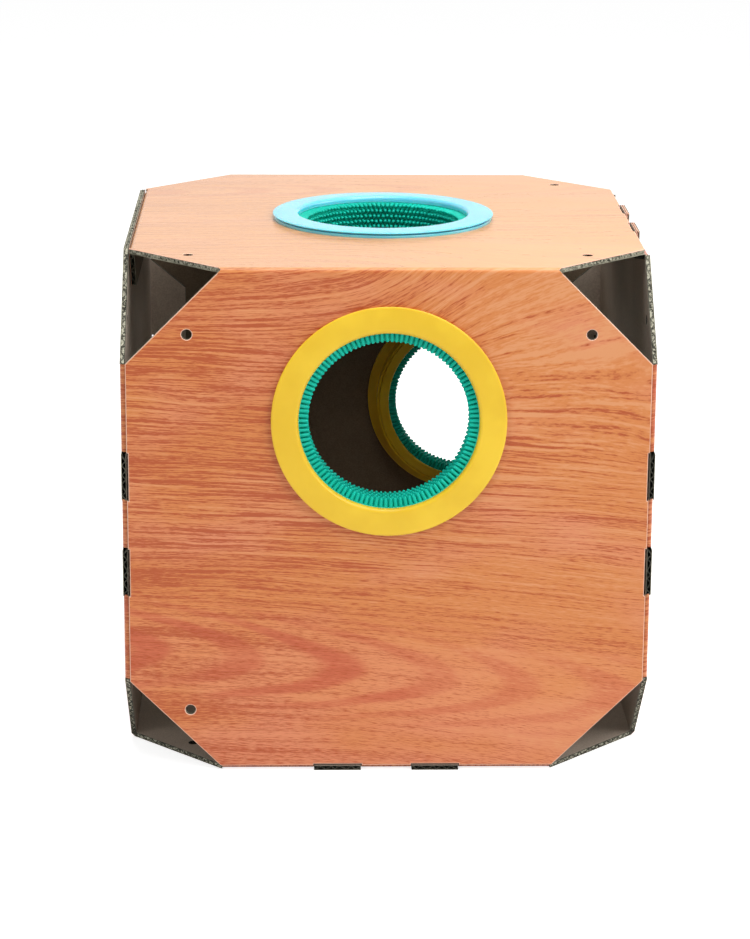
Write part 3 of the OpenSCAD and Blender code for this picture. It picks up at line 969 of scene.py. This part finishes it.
def make_crease(side, degrees, span):
    """The printed skin over a crease, in a quarter bend."""
    mesh = PieceMesh()
    plane = PLANES["top"].turned(degrees)
    radii = (BOARD_T, BOARD_T - LINER_T)
    finishes = ("varnished_print", "fluting_paper", "cut_paper")
    add_sector(mesh, plane, IN_Y, span, radii, QUARTER_BEND, finishes, True)
    piece = mesh.build(f"{side}_crease", BOARD_SHARP)
    start = Vector(plane.points((0, IN_Y, 0))[0])
    end = Vector(plane.points((0, HALF_D, -BOARD_T))[0])
    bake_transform(piece)


def make_cradle():
    side_reach = HALF_D + HALF_H - CORNER_CUT
    flat_reach = HALF_W + HALF_D - CORNER_CUT
    upright, level = flap_span(HALF_H), flap_span(HALF_D)
    tabbed = flap_edge(FIT_Y, side_reach, upright, HALF_D)
    fold = plain_edge(IN_Z, side_reach, "fold")
    uppers = {
        "left": plain_edge(HALF_H, side_reach),
        # The right panel's upper tabs carry painted light on their cut ends
        "right": flap_edge(FIT_Z, side_reach, level, HALF_H, "painted_light_cut"),
    }
    for side, skipped in (("left", (-1, 1)), ("right", (-1, -1))):
        board = Board(*CRADLE_PAPERS)
        outline = panel_outline(tabbed, uppers[side], tabbed, fold)
        board.plate(PLANES[side], outline, tie_holes(HALF_D, HALF_H, skipped), False)
        for degrees in (-90, 90):
            board.flap(PLANES[side].turned(degrees), FIT_Y, upright, True, HALF_D)
        if side == "right":
            board.flap(PLANES[side], FIT_Z, level, False, HALF_H)
        board.finish(side)

    board = Board(*CRADLE_PAPERS)
    wide = flap_span(HALF_W)
    fold = plain_edge(IN_X, flat_reach, "fold")
    tabbed = flap_edge(FIT_Y, flat_reach, wide, HALF_D)
    outline = panel_outline(fold, tabbed, fold, tabbed)
    board.plate(PLANES["bottom"], outline, tie_holes(HALF_W, HALF_D, (1, 1)), True)
    for degrees in (0, 180):
        board.flap(PLANES["bottom"].turned(degrees), FIT_Y, wide, True, HALF_D)
    for degrees in (-90, 90):
        board.bend(PLANES["bottom"].turned(degrees), IN_X, (IN_X - flat_reach, flat_reach - IN_X), True)
    board.finish("bottom")


# Ring sets
def arc(centre, radius, start, end, steps=8, rise=None):
    """Points on a round arc, or on an oval one of another height."""
    angles = np.radians(np.linspace(start, end, steps + 1))
    rise = radius if rise is None else rise
    return [(centre[0] + radius * math.cos(a), centre[1] + rise * math.sin(a)) for a in angles]


def add_lathe(mesh, plane, centre, profile, finish):
    """Turns a closed profile of (radius, height) round a ring's axis."""
    profile = np.array(profile)
    angles = np.linspace(0, 2 * math.pi, RING_STEPS, endpoint=False)
    count = len(profile)
    x = centre[0] + np.outer(np.cos(angles), profile[:, 0])
    y = centre[1] + np.outer(np.sin(angles), profile[:, 0])
    z = np.tile(profile[:, 1], (RING_STEPS, 1))
    faces = []
    for i in range(RING_STEPS):
        here, there = i * count, (i + 1) % RING_STEPS * count
        for k in range(count):
            after = (k + 1) % count
            faces.append((here + k, there + k, there + after, here + after))
    mesh.add(plane, np.stack((x, y, z), axis=2).reshape(-1, 3), faces, finish)


def cap_profile():
    rim = FLANGE_T + GROOVE_H
    side = rim + EDGE_ROUND
    rise = CAP_TOP - CAP_CROWN - side
    return (
        [(BORE_R, 0), (SKIRT_OUT_R, 0), (SKIRT_OUT_R, FLANGE_T), (GROOVE_R, FLANGE_T), (GROOVE_R, rim)]
        + arc((CAP_R - EDGE_ROUND, side), EDGE_ROUND, -90, 0)
        + arc((CAP_R - CAP_ROUND, side), CAP_ROUND, 0, CAP_ROUND_END, steps=10, rise=rise)
        + [(CAP_R - back, CAP_TOP - share * CAP_CROWN) for back, share in CROWN_POINTS]
        + arc((BORE_R + LIP_ROUND, CAP_TOP - LIP_ROUND), LIP_ROUND, 90, 180, steps=12)
    )


def sleeve_profile():
    return (
        [(COLLAR_IN_R, FLANGE_T)]
        + arc((FLANGE_EDGE_R - EDGE_ROUND, FLANGE_T - EDGE_ROUND), EDGE_ROUND, 90, 0)
        + [(FLANGE_EDGE_R, 0), (COLLAR_OUT_R, 0)]
        + arc((COLLAR_OUT_R, BEAD_AT), BEAD_R, 90, -90)
        + arc((COLLAR_OUT_R - EDGE_ROUND, COLLAR_END + EDGE_ROUND), EDGE_ROUND, 0, -90)
        + arc((END_LIP_R + EDGE_ROUND, COLLAR_END + EDGE_ROUND), EDGE_ROUND, -90, -180)
        + [(END_LIP_R, COLLAR_END + END_LIP_T), (COLLAR_IN_R, COLLAR_END + END_LIP_T)]
    )


def retainer_profile():
    snap = BEAD_R + RING_FIT
    snap_angle = math.degrees(math.acos(RING_FIT / snap))
    return (
        [(RING_HOLE_R, COLLAR_END + HUB_BEVEL), (RING_HOLE_R + HUB_BEVEL, COLLAR_END)]
        + [(HUB_OUT_R, COLLAR_END), (HUB_OUT_R, RETAINER_FACE)]
        + arc((RETAINER_R - EDGE_ROUND, RETAINER_FACE + EDGE_ROUND), EDGE_ROUND, -90, 0)
        + [(RETAINER_R, -BOARD_T), (RING_HOLE_R, -BOARD_T)]
        + arc((COLLAR_OUT_R, BEAD_AT), snap, snap_angle, -snap_angle)
    )


def comb_band_profile():
    rounded = COMB_ROOT_R + EDGE_ROUND
    return (
        [(SKIRT_OUT_R, COMB_BACK), (SKIRT_OUT_R, COMB_FRONT)]
        + arc((rounded, COMB_FRONT - EDGE_ROUND), EDGE_ROUND, 90, 180, steps=4)
        + arc((rounded, COMB_BACK + EDGE_ROUND), EDGE_ROUND, 180, 270, steps=4)
    )


def nub_sections():
    """(distance from the root, radius) along a nub: a flared foot, a slow taper and a round tip."""
    shank = NUB_LEN - NUB_TIP_R
    foot = [(-NUB_FOOT_DEEP, NUB_ROOT_R), (0.0, NUB_ROOT_R), (NUB_FLARE, NUB_NECK_R)]
    angles = np.radians(NUB_TIP_ANGLES)
    tip = [(shank + NUB_TIP_R * math.sin(a), NUB_TIP_R * math.cos(a)) for a in angles]
    return np.array([*foot, (shank, NUB_TIP_R), *tip])


def nub_faces(levels):
    """Sides, tip and foot of one nub."""
    faces = []
    for low in range(0, (levels - 1) * NUB_SIDES, NUB_SIDES):
        for k in range(NUB_SIDES):
            after, up = (k + 1) % NUB_SIDES, low + NUB_SIDES
            faces.append((low + k, low + after, up + after, up + k))
    top = (levels - 1) * NUB_SIDES
    faces += [(top + k, top + (k + 1) % NUB_SIDES, top + NUB_SIDES) for k in range(NUB_SIDES)]
    return faces + [tuple(reversed(range(NUB_SIDES)))]


def add_nubs(mesh, plane, centre, draws):
    """Rows of soft nubs that point to the ring's axis."""
    sections = nub_sections()
    faces = nub_faces(len(sections))
    around = np.linspace(0, 2 * math.pi, NUB_SIDES, endpoint=False)
    reach = np.append(np.repeat(sections[:, 0], NUB_SIDES), NUB_LEN)
    side = np.append(np.outer(sections[:, 1], np.cos(around)).ravel(), 0.0)
    high = np.append(np.outer(sections[:, 1], np.sin(around)).ravel(), 0.0)
    radial = COMB_ROOT_R - reach
    for row in range(NUB_ROWS):
        height = COMB_FRONT - NUB_ROW_IN - row * NUB_ROW_PITCH
        for nub in range(NUBS_PER_ROW):
            angle = 2 * math.pi * (nub + row % 2 / 2) / NUBS_PER_ROW
            lean_side, lean_up = draws.uniform(-NUB_LEAN, NUB_LEAN), draws.uniform(-NUB_LEAN, NUB_LEAN)
            across = side + reach * lean_side
            x = centre[0] + radial * math.cos(angle) - across * math.sin(angle)
            y = centre[1] + radial * math.sin(angle) + across * math.cos(angle)
            local = np.column_stack((x, y, height + high + reach * lean_up))
            mesh.add(plane, local, faces, "green_moulding")


def make_ring_set(side, colour, draws):
    plane, centre = PLANES[side], ring_centre(side)
    profiles = {"cap": cap_profile(), "sleeve": sleeve_profile(), "retainer": retainer_profile()}
    for part, profile in profiles.items():
        mesh = PieceMesh()
        add_lathe(mesh, plane, centre, profile, f"{colour}_moulding")
        settle(mesh.build(f"{side}_{part}_ring", RING_SHARP), f"{side}_ring_{part}")
    comb = PieceMesh()
    add_lathe(comb, plane, centre, comb_band_profile(), "green_moulding")
    add_nubs(comb, plane, centre, draws)
    settle(comb.build(f"{side}_nub_comb", COMB_SHARP), f"{side}_comb")


# Studio: white floor and surroundings, soft light, and a camera at the photograph's angle
FLOOR_HALF = 14.0
FLOOR_DROP = 0.2 * MM
FLOOR_WHITE = rgb(0.8, 0.8, 0.8)
FLOOR_GLOW = 0.74
SKY_WHITE = rgb(1.0, 1.0, 1.0)
SKY_LIGHT = 0.29

# Softboxes: place, width and height, watts, and whether glossy surfaces mirror them
SOFTBOXES = {
    "key_light": ((1.5, -1.7, 1.7), (1.3, 1.3), 24.5, True),
    "left_light": ((-1.7, -1.8, 0.9), (1.0, 1.0), 12.3, False),
    "right_light": ((2.0, -0.1, 0.8), (1.0, 1.2), 12.0, True),
    "top_light": ((0.2, -0.35, 1.7), (1.0, 1.0), 19.0, True),
    "back_light": ((-0.5, 1.8, 1.9), (1.2, 1.2), 13.0, False),
}

CAMERA_PLACE = Vector((-0.0664, -2.3106, 0.8334))
CAMERA_YAW = math.radians(1.525)
CAMERA_PITCH = math.radians(15.682)
CAMERA_ROLL = math.radians(0.385)
CAMERA_LENS = 112.36
CAMERA_SENSOR = 36.0
CAMERA_CLIP = (0.05, 100.0)


def seen_directly(nodes):
    """1 for rays from the camera and for those mirrored or let through by a surface."""
    path = nodes.add("ShaderNodeLightPath").outputs
    seen = nodes.math("MAXIMUM", path["Is Camera Ray"], path["Is Glossy Ray"])
    return nodes.math("MAXIMUM", seen, path["Is Transmission Ray"])


def make_floor():
    nodes = new_material("white_floor")
    diffuse = nodes.add("ShaderNodeBsdfDiffuse", {"Color": FLOOR_WHITE}).outputs[0]
    strength = nodes.times(seen_directly(nodes), FLOOR_GLOW)
    glow = nodes.add("ShaderNodeEmission", {"Strength": strength}).outputs[0]
    both = nodes.add("ShaderNodeAddShader", {0: diffuse, 1: glow}).outputs[0]
    nodes.add("ShaderNodeOutputMaterial", {"Surface": both})
    corners = [(x * FLOOR_HALF, y * FLOOR_HALF, 0) for x, y in ((-1, -1), (1, -1), (1, 1), (-1, 1))]
    mesh = bpy.data.meshes.new("floor")
    mesh.from_pydata(corners, [], [(0, 1, 2, 3)])
    mesh.materials.append(bpy.data.materials["white_floor"])
    floor = new_object("floor", mesh)
    floor.location.z = -FLOOR_DROP


def make_world():
    world = bpy.data.worlds.new("studio")
    nodes = empty_nodes(world)
    strength = nodes.fade(seen_directly(nodes), 0.0, 1.0, SKY_LIGHT, 1.0)
    sky = nodes.add("ShaderNodeBackground", {"Color": SKY_WHITE, "Strength": strength})
    nodes.add("ShaderNodeOutputWorld", {"Surface": sky.outputs[0]})
    bpy.context.scene.world = world


def make_lights():
    """Softboxes that all aim at the middle of the box."""
    middle = Vector((0, 0, HALF_H))
    for name, (place, size, watts, mirrored) in SOFTBOXES.items():
        lamp = bpy.data.lights.new(name, "AREA")
        lamp.shape = "RECTANGLE"
        lamp.size, lamp.size_y = size
        lamp.energy = watts
        holder = new_object(name, lamp)
        holder.location = place
        holder.rotation_euler = (middle - Vector(place)).to_track_quat("-Z", "Y").to_euler()
        holder.visible_glossy = mirrored


def make_camera():
    data = bpy.data.cameras.new("photo_view")
    data.lens = CAMERA_LENS
    data.sensor_width = CAMERA_SENSOR
    data.clip_start, data.clip_end = CAMERA_CLIP
    ahead = Vector((
        math.sin(CAMERA_YAW) * math.cos(CAMERA_PITCH),
        math.cos(CAMERA_YAW) * math.cos(CAMERA_PITCH),
        -math.sin(CAMERA_PITCH),
    ))
    right = Vector((math.cos(CAMERA_YAW), -math.sin(CAMERA_YAW), 0.0))
    up = right.cross(ahead)
    turned_right = right * math.cos(CAMERA_ROLL) + up * math.sin(CAMERA_ROLL)
    turned_up = up * math.cos(CAMERA_ROLL) - right * math.sin(CAMERA_ROLL)
    turn = Matrix((turned_right, turned_up, -ahead)).transposed().to_4x4()
    holder = new_object("photo_view", data)
    holder.matrix_world = Matrix.Translation(CAMERA_PLACE) @ turn
    bpy.context.scene.camera = holder


make_camera()
make_materials()
make_cover()
make_cradle()
nub_draws = random.Random(NUB_SEED)
for ring_side, ring_colour in (("front", "yellow"), ("back", "yellow"), ("top", "blue")):
    make_ring_set(ring_side, ring_colour, nub_draws)
make_floor()
make_world()
make_lights()
bpy.context.scene.view_settings.view_transform = "Standard"
